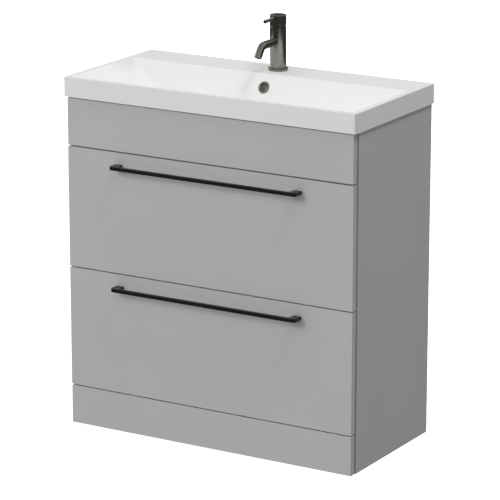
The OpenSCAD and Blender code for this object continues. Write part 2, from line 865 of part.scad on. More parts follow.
// One runner member on the right: a channel with its web at the given side.
// Distances run inwards from the cabinet's side wall.
module runner_member(z, web_at_wall, near, far, half_h, flange_t, y0) {
    x0 = inner_w / 2 - far;
    x1 = inner_w / 2 - near;
    web_x = web_at_wall ? x1 - rail_t : x0;
    block([web_x, y0, z - half_h], [web_x + rail_t, y0 + runner_len, z + half_h]);
    for (low = [z - half_h, z + half_h - flange_t])
        block([x0, y0, low], [x1, y0 + runner_len, low + flange_t]);
}

// Half heights of the three members, nested inside one another
rail_half_h = rail_h / 2;
mid_half_h = rail_half_h - rail_t - race_gap;
mid_flange_t = rail_t + race_h;
slide_half_h = mid_half_h - mid_flange_t - race_gap;

function runner_z(front_z) = front_z + box_lift + runner_lift;

module runner_rails(front_z) {
    color(zinc) both_sides()
        runner_member(runner_z(front_z), true, 0, 10, rail_half_h, rail_t, runner_y);
}

module runner_mids(front_z) {
    color(zinc) both_sides()
        runner_member(runner_z(front_z), true, 3, 11.5, mid_half_h, mid_flange_t, runner_y);
}

module runner_slides(front_z) {
    color(zinc) both_sides()
        runner_member(runner_z(front_z), false, 6, runner_t, slide_half_h, rail_t, runner_y);
}

// ---- Drawers ----

function handle_z(front_z) = front_z + drawer_front_h - handle_drop;
handle_screw_x = (handle_len - handle_foot_w) / 2;

module at_handle_screws() {
    for (x = [-handle_screw_x, handle_screw_x]) translate([x, 0, 0]) children();
}

module drawer_front(front_z) {
    color(lacquer) difference() {
        board(front_w / 2, front_y, front_back_y, front_z, front_z + drawer_front_h);
        at_handle_screws()
            bar_y(handle_screw_r + fit, 0, front_y - cut, front_back_y + cut, handle_z(front_z));
        both_sides()
            bar_y(rod_r + fit, rod_x, front_back_y - rod_seat - fit, front_back_y + cut,
                front_z + box_lift + rod_lift);
    }
}

module trap_bay(extra) {
    block([-trap_bay_w / 2 - extra, bay_front_y - extra, 0],
        [trap_bay_w / 2 + extra, box_back_y + cut, cabinet_h]);
}

module drawer_base(front_z, has_bay) {
    z = front_z + box_lift + sheet_t;
    color(inside_board) difference() {
        board(box_inner_half_w, front_back_y, box_back_y - box_board_t, z, z + box_board_t);
        if (has_bay) trap_bay(0);
    }
}

module drawer_back(front_z, has_bay) {
    box_z = front_z + box_lift;
    color(inside_board) difference() {
        board(box_inner_half_w, box_back_y - box_board_t, box_back_y, box_z + sheet_t, box_z + back_h);
        both_sides()
            bar_y(rod_r + fit, rod_x, box_back_y - box_board_t - cut,
                box_back_y - box_board_t + rod_seat + fit, box_z + rod_lift);
        if (has_bay) trap_bay(0);
    }
}

module drawer_surround(front_z) {
    box_z = front_z + box_lift;
    color(inside_board) difference() {
        board(trap_bay_w / 2 + surround_t, bay_front_y - surround_t, box_back_y - box_board_t,
            box_z + sheet_t + box_board_t, box_z + side_h);
        trap_bay(0);
    }
}

// Double-walled steel side with a ledge that carries the base
module drawer_side(front_z) {
    z0 = front_z + box_lift;
    z1 = z0 + side_h;
    inner_x = box_half_w - side_w;
    color(drawer_grey) {
        block([box_half_w - sheet_t, front_back_y, z0], [box_half_w, box_back_y, z1]);
        block([inner_x, front_back_y, z0], [inner_x + sheet_t, box_back_y, z1]);
        block([inner_x, front_back_y, z1 - sheet_t], [box_half_w, box_back_y, z1]);
        block([inner_x - base_flange, front_back_y, z0], [box_half_w, box_back_y, z0 + sheet_t]);
    }
}

module drawer_side_left(front_z) mirror([1, 0, 0]) drawer_side(front_z);

module gallery_rods(front_z) {
    color(drawer_grey) both_sides()
        bar_y(rod_r, rod_x, front_back_y - rod_seat, box_back_y - box_board_t + rod_seat,
            front_z + box_lift + rod_lift);
}

// Plan of a rectangle with its two front corners rounded
module front_rounded_rect(w, d, r) {
    translate([-w / 2, r]) square([w, d - r]);
    translate([-w / 2 + r, 0]) square([w - 2 * r, d]);
    for (x = [-w / 2 + r, w / 2 - r]) translate([x, r]) circle(r);
}

module drawer_handle(front_z) {
    outer_r = 7;
    inner_r = 9;
    hole_depth = 12;
    color(black) difference() {
        translate([0, front_y - handle_out, handle_z(front_z) - handle_h / 2])
            linear_extrude(handle_h) difference() {
                front_rounded_rect(handle_len, handle_out, outer_r);
                translate([0, handle_bar_t])
                    front_rounded_rect(handle_len - 2 * handle_foot_w, handle_out, inner_r);
            }
        at_handle_screws()
            bar_y(handle_screw_r + fit / 2, 0, front_y - hole_depth, front_y + cut, handle_z(front_z));
    }
}

module handle_screws(front_z) {
    head_r = 2 * handle_screw_r;
    head_h = 2.4;
    z = handle_z(front_z);
    color(zinc) at_handle_screws() {
        bar_y(handle_screw_r, 0, front_y - 10, front_back_y + head_h / 2, z);
        bar_y(head_r, 0, front_back_y, front_back_y + head_h, z);
    }
}

module buffers(front_z) {
    color(rubber) both_sides()
        for (z = [front_z + buffer_edge, front_z + drawer_front_h - buffer_edge])
            bar_y(buffer_r, (inner_w + board_t) / 2, front_back_y, carcass_y - 2 * fit, z);
}

left_side_panel();
right_side_panel();
base_panel();
top_fascia();
plinth();
fascia_rail();
rear_top_rail();
rear_bottom_rail();
plinth_brackets();
cam_fittings();
basin();
overflow_ring();
waste_body();
waste_seals();
waste_backnut();
waste_plug();
trap_body();
trap_cup();
trap_inlet_nut();
trap_outlet_nut();
trap_outlet_pipe();
tap_body();
tap_base_ring();
tap_spout();
tap_aerator();
tap_cartridge();
tap_cartridge_nut();
tap_fixing_stud();
tap_fixing_plate();
tap_fixing_nut();
tap_swivel_cup();
tap_spindle();
tap_handle_cap();
tap_lever_pin();
tap_grub_screw();
runner_rails(upper_z);  // upper_runner_rails
runner_mids(upper_z);  // upper_runner_mids
runner_slides(upper_z);  // upper_runner_slides
runner_rails(lower_z);  // lower_runner_rails
runner_mids(lower_z);  // lower_runner_mids
runner_slides(lower_z);  // lower_runner_slides
drawer_front(upper_z);  // upper_front
drawer_base(upper_z, true);  // upper_base
drawer_back(upper_z, true);  // upper_back
drawer_surround(upper_z);  // upper_surround
drawer_side_left(upper_z);  // upper_side_left
drawer_side(upper_z);  // upper_side_right
gallery_rods(upper_z);  // upper_gallery_rods
drawer_handle(upper_z);  // upper_handle
handle_screws(upper_z);  // upper_handle_screws
buffers(upper_z);  // upper_buffers
drawer_front(lower_z);  // lower_front
drawer_base(lower_z, false);  // lower_base
drawer_back(lower_z, false);  // lower_back
drawer_side_left(lower_z);  // lower_side_left
drawer_side(lower_z);  // lower_side_right
gallery_rods(lower_z);  // lower_gallery_rods
drawer_handle(lower_z);  // lower_handle
handle_screws(lower_z);  // lower_handle_screws
buffers(lower_z);  // lower_buffers
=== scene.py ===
import json
import math
import bpy
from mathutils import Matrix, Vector


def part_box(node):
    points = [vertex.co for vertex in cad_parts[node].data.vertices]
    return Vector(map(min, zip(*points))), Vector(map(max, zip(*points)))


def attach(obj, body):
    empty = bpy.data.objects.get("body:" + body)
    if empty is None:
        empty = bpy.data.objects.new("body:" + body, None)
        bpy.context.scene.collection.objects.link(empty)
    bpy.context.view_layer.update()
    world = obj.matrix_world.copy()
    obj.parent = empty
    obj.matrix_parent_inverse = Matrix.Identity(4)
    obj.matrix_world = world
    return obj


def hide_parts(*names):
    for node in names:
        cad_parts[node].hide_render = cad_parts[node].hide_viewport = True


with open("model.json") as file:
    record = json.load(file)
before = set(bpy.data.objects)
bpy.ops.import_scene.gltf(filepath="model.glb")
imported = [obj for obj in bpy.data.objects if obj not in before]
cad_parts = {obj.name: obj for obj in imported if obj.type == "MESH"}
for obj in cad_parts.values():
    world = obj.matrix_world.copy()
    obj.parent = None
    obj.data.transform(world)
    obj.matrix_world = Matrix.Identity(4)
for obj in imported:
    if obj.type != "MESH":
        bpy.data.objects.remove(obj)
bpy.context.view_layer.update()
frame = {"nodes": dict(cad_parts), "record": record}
mm = 0.001


# selecting, edit mode and finishing, shared by all pieces; angles are in degrees

# in a copy of a node, vertices closer than merge become one, and so do faces flatter to each other than flat
copied = {"merge": 0.02 * mm, "flat": 0.4}
turned = {"merge": 0.001 * mm}  # where a turned outline meets itself
shading = {"smoothUpTo": 35, "faceWeight": 80}  # over 50, a large face's normal wins over a small one's


def clearSelection():
    if bpy.context.object and bpy.context.object.mode != "OBJECT":
        bpy.ops.object.mode_set(mode="OBJECT")
    bpy.ops.object.select_all(action="DESELECT")


def makeActive(piece):
    clearSelection()
    piece.select_set(True)
    bpy.context.view_layer.objects.active = piece


def editAll(piece, kind="VERT"):
    makeActive(piece)
    bpy.ops.object.mode_set(mode="EDIT")
    bpy.ops.mesh.select_mode(type=kind)
    bpy.ops.mesh.select_all(action="SELECT")


def objectMode():
    bpy.ops.object.mode_set(mode="OBJECT")


def applyModifier(piece, kind, **settings):
    makeActive(piece)
    bpy.ops.object.modifier_add(type=kind)
    modifier = piece.modifiers[-1]
    for key, value in settings.items():
        setattr(modifier, key, value)
    bpy.ops.object.modifier_apply(modifier=modifier.name)


def finishPiece(piece, name, body, node, material):
    # place goes into the mesh, large faces keep their own normal beside small bevels, and then the piece
    # stands for the node on its body
    piece.name = name
    makeActive(piece)
    bpy.ops.object.transform_apply(location=True, rotation=True, scale=True)
    bpy.ops.object.shade_smooth_by_angle(angle=math.radians(shading["smoothUpTo"]))
    applyModifier(piece, "WEIGHTED_NORMAL", keep_sharp=True, weight=shading["faceWeight"])
    piece.data.materials.clear()
    piece.data.materials.append(material)
    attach(piece, body)
    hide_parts(node)


def easedCopy(node, body, edge, material, segments=3, fromAngle=40):
    # the node's own solid, with every edge sharper than an angle rounded by a radius
    makeActive(frame["nodes"][node])
    bpy.ops.object.duplicate()
    piece = bpy.context.object
    piece.parent = None
    editAll(piece)
    bpy.ops.mesh.remove_doubles(threshold=copied["merge"])
    bpy.ops.mesh.dissolve_limited(angle_limit=math.radians(copied["flat"]))
    objectMode()
    applyModifier(piece, "BEVEL", width=edge, segments=segments, limit_method="ANGLE",
                  angle_limit=math.radians(fromAngle), miter_outer="MITER_ARC", use_clamp_overlap=True)
    finishPiece(piece, node + "_eased", body, node, material)


def turnedPiece(profile, closed=True, sides=96):
    # a ring is drawn up the profile of (radius, height) by extruding and scaling, as on a lathe;
    # closed joins the last ring to the first, otherwise both ends are filled
    clearSelection()
    radius, height = profile[0]
    bpy.ops.mesh.primitive_circle_add(vertices=sides, radius=radius, fill_type="NOTHING",
                                      location=(0, 0, height))
    piece = bpy.context.object
    bpy.ops.object.transform_apply(location=True)
    editAll(piece, "EDGE")
    for nextRadius, nextHeight in profile[1:]:
        bpy.ops.mesh.extrude_region_move(TRANSFORM_OT_translate={"value": (0, 0, nextHeight - height)})
        ratio = nextRadius / radius
        bpy.ops.transform.resize(value=(ratio, ratio, 1), center_override=(0, 0, nextHeight))
        radius, height = nextRadius, nextHeight
    bpy.ops.mesh.select_all(action="SELECT")
    if closed:
        bpy.ops.mesh.remove_doubles(threshold=turned["merge"])
    else:
        bpy.ops.mesh.fill_holes(sides=0)
    fixNormals(piece)
    return piece


def fixNormals(piece):
    editAll(piece)
    bpy.ops.mesh.normals_make_consistent(inside=False)
    objectMode()


def placePiece(piece, tilt, place):
    # tilts the mesh about X, then moves it to its place; without a window, rotate turns the other way
    editAll(piece)
    bpy.ops.transform.rotate(value=-math.radians(tilt), orient_axis="X", center_override=(0, 0, 0))
    bpy.ops.transform.translate(value=place)
    objectMode()


def linear(hexColour):
    # an sRGB hex colour as the linear values that a shader takes
    channels = [int(hexColour[i:i + 2], 16) / 255 for i in (1, 3, 5)]
    return tuple(c / 12.92 if c <= 0.04045 else ((c + 0.055) / 1.055) ** 2.4 for c in channels) + (1.0,)


def newTree(name):
    material = bpy.data.materials.new(name)
    material.use_nodes = True
    material.node_tree.nodes.clear()
    return material, material.node_tree


def addNode(tree, kind, settings=None, links=None):
    # a setting is an option of the node or the value of an input, and a link is an input's source; an input
    # goes by its name or number. A colour Mix has its factor at 0, its colours at 6 and 7, its result at 2
    node = tree.nodes.new("ShaderNode" + kind)
    for key, value in (settings or {}).items():
        if isinstance(key, str) and hasattr(node, key):
            setattr(node, key, value)
        else:
            node.inputs[key].default_value = value
    for key, source in (links or {}).items():
        tree.links.new(source, node.inputs[key])
    return node


# materials: a pattern's size is the real one, and rough is the range that its roughness covers

def sprayedLacquer(name, look):
    # lacquer sprayed on fibreboard and cured: an even satin grey, clouded by less than a shade, with orange
    # peel about 2 mm across that softens what it reflects
    material, tree = newTree(name)
    place = addNode(tree, "TexCoord").outputs["Object"]
    cloud = addNode(tree, "TexNoise", {"Scale": 1 / look["cloudSize"], "Detail": 2.0}, {"Vector": place})
    peel = addNode(tree, "TexNoise", {"Scale": 1 / look["peelSize"], "Detail": 2.0}, {"Vector": place})
    tint = addNode(tree, "Mix", {"data_type": "RGBA", 6: linear(look["dark"]), 7: linear(look["light"])},
                   {0: cloud.outputs["Fac"]})
    rough = addNode(tree, "MapRange", {"To Min": look["rough"][0], "To Max": look["rough"][1]},
                    {"Value": cloud.outputs["Fac"]})
    bump = addNode(tree, "Bump", {"Strength": look["peel"], "Distance": look["peelDepth"]},
                   {"Height": peel.outputs["Fac"]})
    shader = addNode(tree, "BsdfPrincipled", {"IOR": look["ior"], "Specular IOR Level": look["shine"]},
                     {"Base Color": tint.outputs[2], "Roughness": rough.outputs["Result"],
                      "Normal": bump.outputs["Normal"]})
    addNode(tree, "OutputMaterial", links={"Surface": shader.outputs["BSDF"]})
    return material


def firedGlaze(name, look):
    # white glaze fired on vitreous china: warm white, glossy, with a slow wave of about 35 mm and fine
    # unevenness of about 6 mm that bends its highlights
    material, tree = newTree(name)
    place = addNode(tree, "TexCoord").outputs["Object"]
    pool = addNode(tree, "TexNoise", {"Scale": 1 / look["poolSize"], "Detail": 1.0}, {"Vector": place})
    wave = addNode(tree, "TexNoise", {"Scale": 1 / look["waveSize"], "Detail": 2.0}, {"Vector": place})
    dimple = addNode(tree, "TexNoise", {"Scale": 1 / look["dimpleSize"], "Detail": 1.0}, {"Vector": place})
    tint = addNode(tree, "Mix", {"data_type": "RGBA", 6: linear(look["dark"]), 7: linear(look["light"])},
                   {0: pool.outputs["Fac"]})
    rough = addNode(tree, "MapRange", {"To Min": look["rough"][0], "To Max": look["rough"][1]},
                    {"Value": wave.outputs["Fac"]})
    slow = addNode(tree, "Bump", {"Strength": look["wave"], "Distance": look["waveDepth"]},
                   {"Height": wave.outputs["Fac"]})
    fine = addNode(tree, "Bump", {"Strength": look["dimple"], "Distance": look["dimpleDepth"]},
                   {"Height": dimple.outputs["Fac"], "Normal": slow.outputs["Normal"]})
    shader = addNode(tree, "BsdfPrincipled", {"IOR": look["ior"], "Specular IOR Level": look["shine"],
                                              "Coat Weight": look["coat"],
                                              "Coat Roughness": look["coatRough"]},
                     {"Base Color": tint.outputs[2], "Roughness": rough.outputs["Result"],
                      "Normal": fine.outputs["Normal"]})
    addNode(tree, "OutputMaterial", links={"Surface": shader.outputs["BSDF"]})
    return material


def platedMetal(name, look):
    # metal under a plated film: the film gives the colour, wiping leaves slightly duller patches 9 to 15 mm
    # across, and the polish leaves a very fine grain, drawn at half a millimetre or more so that it shows
    material, tree = newTree(name)
    place = addNode(tree, "TexCoord").outputs["Object"]
    wipe = addNode(tree, "TexNoise", {"Scale": 1 / look["wipeSize"], "Detail": 3.0}, {"Vector": place})
    grain = addNode(tree, "TexNoise", {"Scale": 1 / look["grainSize"], "Detail": 2.0}, {"Vector": place})
    tint = addNode(tree, "Mix", {"data_type": "RGBA", 6: linear(look["dark"]), 7: linear(look["light"])},
                   {0: wipe.outputs["Fac"]})
    rough = addNode(tree, "MapRange", {"To Min": look["rough"][0], "To Max": look["rough"][1]},
                    {"Value": wipe.outputs["Fac"]})
    bump = addNode(tree, "Bump", {"Strength": look["grain"], "Distance": look["grainDepth"]},
                   {"Height": grain.outputs["Fac"]})
    shader = addNode(tree, "BsdfPrincipled", {"Metallic": 1.0},
                     {"Base Color": tint.outputs[2], "Roughness": rough.outputs["Result"],
                      "Normal": bump.outputs["Normal"]})
    addNode(tree, "OutputMaterial", links={"Surface": shader.outputs["BSDF"]})
    return material


def stippledSkin(name, look):
    # powder coat, anodising, moulded plastic or rubber: one colour with a faint drift, over a stipple that
    # breaks up its gloss, drawn at about a millimetre so that it shows
    material, tree = newTree(name)
    place = addNode(tree, "TexCoord").outputs["Object"]
    drift = addNode(tree, "TexNoise", {"Scale": skin["driftsPerMetre"], "Detail": 2.0}, {"Vector": place})
    speck = addNode(tree, "TexNoise", {"Scale": 1 / look["stippleSize"], "Detail": 3.0}, {"Vector": place})
    tint = addNode(tree, "Mix", {"data_type": "RGBA", 6: linear(look["dark"]), 7: linear(look["light"])},
                   {0: drift.outputs["Fac"]})
    rough = addNode(tree, "MapRange", {"To Min": look["rough"][0], "To Max": look["rough"][1]},
                    {"Value": speck.outputs["Fac"]})
    bump = addNode(tree, "Bump", {"Strength": look["stipple"], "Distance": skin["stippleDepth"]},
                   {"Height": speck.outputs["Fac"]})
    shader = addNode(tree, "BsdfPrincipled", {"Metallic": look["metal"], "IOR": look["ior"]},
                     {"Base Color": tint.outputs[2], "Roughness": rough.outputs["Result"],
                      "Normal": bump.outputs["Normal"]})
    addNode(tree, "OutputMaterial", links={"Surface": shader.outputs["BSDF"]})
    return material


def linenMelamine(name, look):
    # melamine paper pressed on chipboard: a linen print, threads 0.8 mm thick and about 4 mm long each way
    material, tree = newTree(name)
    place = addNode(tree, "TexCoord").outputs["Object"]
    slow, fast = 1 / look["threadLength"], 1 / look["threadWidth"]  # along a thread and across it
    across = addNode(tree, "Mapping", {"Scale": (slow, fast, fast)}, {"Vector": place}).outputs["Vector"]
    along = addNode(tree, "Mapping", {"Scale": (fast, slow, slow)}, {"Vector": place}).outputs["Vector"]
    weft = addNode(tree, "TexNoise", {"Scale": 1.0, "Detail": 2.0}, {"Vector": across}).outputs["Fac"]
    warp = addNode(tree, "TexNoise", {"Scale": 1.0, "Detail": 2.0}, {"Vector": along}).outputs["Fac"]
    linen = addNode(tree, "Math", {"operation": "MAXIMUM"}, {0: weft, 1: warp}).outputs["Value"]
    tint = addNode(tree, "Mix", {"data_type": "RGBA", 6: linear(look["dark"]), 7: linear(look["light"])},
                   {0: linen})
    rough = addNode(tree, "MapRange", {"To Min": look["rough"][0], "To Max": look["rough"][1]},
                    {"Value": linen})
    bump = addNode(tree, "Bump", {"Strength": look["thread"], "Distance": look["threadDepth"]},
                   {"Height": linen})
    shader = addNode(tree, "BsdfPrincipled", {"IOR": look["ior"]},
                     {"Base Color": tint.outputs[2], "Roughness": rough.outputs["Result"],
                      "Normal": bump.outputs["Normal"]})
    addNode(tree, "OutputMaterial", links={"Surface": shader.outputs["BSDF"]})
    return material


greyLacquer = sprayedLacquer("greyLacquer", {
    "dark": "#b7b7b6", "light": "#bbbbba", "rough": (0.45, 0.55), "ior": 1.5, "shine": 0.4,
    "cloudSize": 200 * mm, "peel": 0.3, "peelSize": 2 * mm, "peelDepth": 0.04 * mm})
whiteGlaze = firedGlaze("whiteGlaze", {
    "dark": "#e5e4e2", "light": "#e9e8e6", "rough": (0.11, 0.19), "ior": 1.52, "shine": 0.25,
    "coat": 0.08, "coatRough": 0.06, "poolSize": 250 * mm, "wave": 0.2, "waveSize": 35 * mm,
    "waveDepth": 0.3 * mm, "dimple": 0.15, "dimpleSize": 6 * mm, "dimpleDepth": 0.05 * mm})
gunmetalPlate = platedMetal("gunmetalPlate", {
    "dark": "#7f7e79", "light": "#898883", "rough": (0.1, 0.16), "wipeSize": 15 * mm,
    "grain": 0.05, "grainSize": 0.5 * mm, "grainDepth": 0.02 * mm})
zincPlate = platedMetal("zincPlate", {
    "dark": "#a8abad", "light": "#bfc2c4", "rough": (0.3, 0.48), "wipeSize": 9 * mm,
    "grain": 0.15, "grainSize": 1.2 * mm, "grainDepth": 0.02 * mm})
greyMelamine = linenMelamine("greyMelamine", {
    "dark": "#c3c3c0", "light": "#cfcfcc", "rough": (0.44, 0.56), "ior": 1.5,
    "thread": 0.3, "threadLength": 4 * mm, "threadWidth": 0.8 * mm, "threadDepth": 0.04 * mm})

skin = {"driftsPerMetre": 9.0, "stippleDepth": 0.05 * mm}
blackAnodising = stippledSkin("blackAnodising", {
    "dark": "#3a3937", "light": "#424140", "rough": (0.26, 0.42), "metal": 0.85, "ior": 1.5,
    "stipple": 0.15, "stippleSize": 0.7 * mm})
drawerPowderCoat = stippledSkin("drawerPowderCoat", {
    "dark": "#5d6063", "light": "#64676a", "rough": (0.4, 0.56), "metal": 0.0, "ior": 1.5,
    "stipple": 0.4, "stippleSize": 1.2 * mm})
whitePolypropylene = stippledSkin("whitePolypropylene", {
    "dark": "#e6e6e4", "light": "#ececea", "rough": (0.32, 0.48), "metal": 0.0, "ior": 1.49,
    "stipple": 0.2, "stippleSize": 1.5 * mm})
greyAcetal = stippledSkin("greyAcetal", {
    "dark": "#c4c4c2", "light": "#cbcbc9", "rough": (0.34, 0.5), "metal": 0.0, "ior": 1.48,
    "stipple": 0.15, "stippleSize": 1.2 * mm})
# acetal coloured near black: painted shade for the recess inside the spout's mouth
mouthShadeAcetal = stippledSkin("mouthShadeAcetal", {
    "dark": "#2b2b2a", "light": "#313130", "rough": (0.37, 0.53), "metal": 0.0, "ior": 1.48,
    "stipple": 0.15, "stippleSize": 1.2 * mm})
softRubber = stippledSkin("softRubber", {
    "dark": "#77787a", "light": "#7f8082", "rough": (0.62, 0.78), "metal": 0.0, "ior": 1.52,
    "stipple": 0.3, "stippleSize": 1.0 * mm})
print("materials made")


# the camera stands in front and to the right, a little above; metres, degrees, and millimetres for the lens
view = {"place": (3.5539, -5.9426, 2.3534), "azimuth": 30.792, "elevation": 15.296, "lens": 211.05,
        "sensor": 36, "farthest": 60}
cameraData = bpy.data.cameras.new("camera")
cameraData.lens = view["lens"]
cameraData.sensor_width = view["sensor"]
cameraData.clip_end = view["farthest"]
camera = bpy.data.objects.new("camera", cameraData)
camera.location = view["place"]
camera.rotation_euler = (math.radians(90 - view["elevation"]), 0, math.radians(view["azimuth"]))
bpy.context.scene.collection.objects.link(camera)
bpy.context.scene.camera = camera

# softboxes far enough off to light the whole cabinet evenly, all turned to one aim in it; metres and watts.
# The boxes light without being reflected, and the card is only reflected
softboxes = {
    "frontBox": {"place": (-2.6, -6.0, 4.2), "size": (2.6, 2.6), "power": 185, "reflected": False},
    "steepBox": {"place": (2.9, -0.8, 6.7), "size": (1.5, 1.5), "power": 185, "reflected": False},
    "overheadBox": {"place": (-0.4, 1.6, 7.0), "size": (5.0, 4.0), "power": 80, "reflected": False},
    "leftCard": {"place": (-5.6, 1.8, 2.2), "size": (4.4, 2.6), "power": 80, "reflected": True},
}
aim = Vector((0, 0, 0.55))
for name, box in softboxes.items():
    light = bpy.data.lights.new(name, "AREA")
    light.shape = "RECTANGLE"
    light.size, light.size_y = box["size"]
    light.energy = box["power"]
    lamp = bpy.data.objects.new(name, light)
    lamp.location = box["place"]
    lamp.visible_glossy = box["reflected"]
    lamp.visible_diffuse = not box["reflected"]
    lamp.rotation_euler = (aim - Vector(box["place"])).to_track_quat("-Z", "Y").to_euler()
    bpy.context.scene.collection.objects.link(lamp)

# the room: white where it is looked at; as light a soft glow, stronger from the left and from behind; in
# reflections dark but for a light band all round, which comes in and goes out between two heights each, given
# as the sine of the angle above the horizon
room = {"seen": 1.4, "glow": 0.755, "fromLeft": 0.6, "fromFront": -0.33, "dark": 0.1, "band": 1.0,
        "bandFrom": (0.34, 0.46), "bandTo": (0.58, 0.72), "aboveBand": 0.55}
world = bpy.data.worlds.new("studio")
world.use_nodes = True
tree = world.node_tree
tree.nodes.clear()
ray = addNode(tree, "LightPath")
direction = addNode(tree, "TexCoord").outputs["Generated"]
leanTo = (-room["fromLeft"], -room["fromFront"], 0)
lean = addNode(tree, "VectorMath", {"operation": "DOT_PRODUCT", 1: leanTo}, {0: direction})
around = addNode(tree, "Math", {"operation": "ADD", 1: room["glow"]}, {0: lean.outputs["Value"]})
height = addNode(tree, "SeparateXYZ", links={0: direction}).outputs["Z"]
rise = addNode(tree, "MapRange", {"interpolation_type": "SMOOTHSTEP", "From Min": room["bandFrom"][0],
                                  "From Max": room["bandFrom"][1], "To Min": room["dark"],
                                  "To Max": room["band"]}, {"Value": height})
fall = addNode(tree, "MapRange", {"interpolation_type": "SMOOTHSTEP", "From Min": room["bandTo"][0],
                                  "From Max": room["bandTo"][1], "To Min": 0.0,
                                  "To Max": room["band"] - room["aboveBand"]}, {"Value": height})
banded = addNode(tree, "Math", {"operation": "SUBTRACT"},
                 {0: rise.outputs["Result"], 1: fall.outputs["Result"]})
glow = addNode(tree, "Background", {"Color": linear("#ffffff")}, {"Strength": around.outputs["Value"]})
dim = addNode(tree, "Background", {"Color": linear("#ffffff")}, {"Strength": banded.outputs["Value"]})
white = addNode(tree, "Background", {"Color": linear("#ffffff"), "Strength": room["seen"]})
lit = addNode(tree, "MixShader", links={0: ray.outputs["Is Glossy Ray"], 1: glow.outputs["Background"],
                                        2: dim.outputs["Background"]})
seen = addNode(tree, "MixShader", links={0: ray.outputs["Is Camera Ray"], 1: lit.outputs["Shader"],
                                         2: white.outputs["Background"]})
addNode(tree, "OutputWorld", links={"Surface": seen.outputs["Shader"]})
bpy.context.scene.world = world

# highlights are compressed a little, as film does, so that the white glaze keeps its shape
highlights = {"from": 0.6, "white": 0.84}
colours = bpy.context.scene.view_settings
colours.view_transform = "Standard"
colours.use_curve_mapping = True
colours.curve_mapping.extend = "EXTRAPOLATED"
curve = colours.curve_mapping.curves[3]  # red, green and blue together
curve.points[1].location = (1, highlights["white"])
curve.points.new(highlights["from"], highlights["from"])
for point in curve.points:
    point.handle_type = "VECTOR"
colours.curve_mapping.update()

# a wide pale floor just under the plinth, lifted to white for the camera only, and left out of reflections
# and of bounced light
floorLook = {"size": 24, "below": 0.2 * mm, "colour": "#f0f0f0", "rough": 0.9, "lift": 1.3}
clearSelection()
bpy.ops.mesh.primitive_plane_add(size=floorLook["size"], location=(0, 0, -floorLook["below"]))
floor = bpy.context.object
floor.name = "floor"
bpy.ops.object.transform_apply(location=True)
floor.visible_glossy = False
floor.visible_diffuse = False
paleFloor, tree = newTree("paleFloor")
ray = addNode(tree, "LightPath")
lift = addNode(tree, "Math", {"operation": "MULTIPLY", 1: floorLook["lift"]},
               {0: ray.outputs["Is Camera Ray"]})
shader = addNode(tree, "BsdfPrincipled", {"Base Color": linear(floorLook["colour"]),
                                          "Roughness": floorLook["rough"],
                                          "Emission Color": linear("#ffffff")},
                 {"Emission Strength": lift.outputs["Value"]})
addNode(tree, "OutputMaterial", links={"Surface": shader.outputs["BSDF"]})
floor.data.materials.append(paleFloor)
print("camera, lights and floor set")


boards = {"panelEdge": 0.8 * mm, "frontEdge": 1.2 * mm, "insideEdge": 0.5 * mm}
for node in ("left_side_panel", "right_side_panel"):
    easedCopy(node, "cabinet", boards["panelEdge"], greyLacquer)
for node, body in (("top_fascia", "cabinet"), ("plinth", "cabinet"), ("upper_front", "upper_drawer"),
                   ("lower_front", "lower_drawer")):
    easedCopy(node, body, boards["frontEdge"], greyLacquer)
for node, body in (("base_panel", "cabinet"), ("fascia_rail", "cabinet"), ("rear_top_rail", "cabinet"),
                   ("rear_bottom_rail", "cabinet"), ("upper_base", "upper_drawer"),
                   ("upper_back", "upper_drawer"), ("upper_surround", "upper_drawer"),
                   ("lower_base", "lower_drawer"), ("lower_back", "lower_drawer")):
    easedCopy(node, body, boards["insideEdge"], greyMelamine, segments=2)
print("boards made")


drawers = {"handleEdge": 1.6 * mm, "steelEdge": 0.35 * mm}
for level in ("upper", "lower"):
    body = level + "_drawer"
    easedCopy(level + "_handle", body, drawers["handleEdge"], blackAnodising, segments=4)
    for side in ("left", "right"):
        easedCopy(level + "_side_" + side, body, drawers["steelEdge"], drawerPowderCoat,
                  segments=2)
print("drawers made")


casting = {"glazedEdge": 1.7 * mm}
easedCopy("basin", "cabinet", casting["glazedEdge"], whiteGlaze, segments=5, fromAngle=32)
print("basin made")


tapLow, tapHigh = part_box("tap_body")
ringLow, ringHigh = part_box("tap_base_ring")
capLow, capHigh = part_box("tap_handle_cap")
tapRadius = (tapHigh.x - tapLow.x) / 2
tapY = (tapLow.y + tapHigh.y) / 2
deck = ringLow.z
cornerCut = 0.3  # a rounded corner has one point in its middle, this share of its radius in from both faces

# body: a plain barrel with a rounded top edge, bored, and recessed at the top for what turns the handle
barrel = {"edge": 0.8 * mm, "wall": 8.0 * mm, "rim": 2.9 * mm, "recess": 8.0 * mm}
edge, cut, top = barrel["edge"], cornerCut * barrel["edge"], tapHigh.z
bore, recess, recessFloor = tapRadius - barrel["wall"], tapRadius - barrel["rim"], top - barrel["recess"]
profile = [(bore, deck), (tapRadius, deck), (tapRadius, top - edge), (tapRadius - cut, top - cut),
           (tapRadius - edge, top), (recess, top), (recess, recessFloor), (bore, recessFloor), (bore, deck)]
tapBody = turnedPiece(profile)
placePiece(tapBody, 0, (0, tapY, 0))
finishPiece(tapBody, "tap_body_turned", "cabinet", "tap_body", gunmetalPlate)

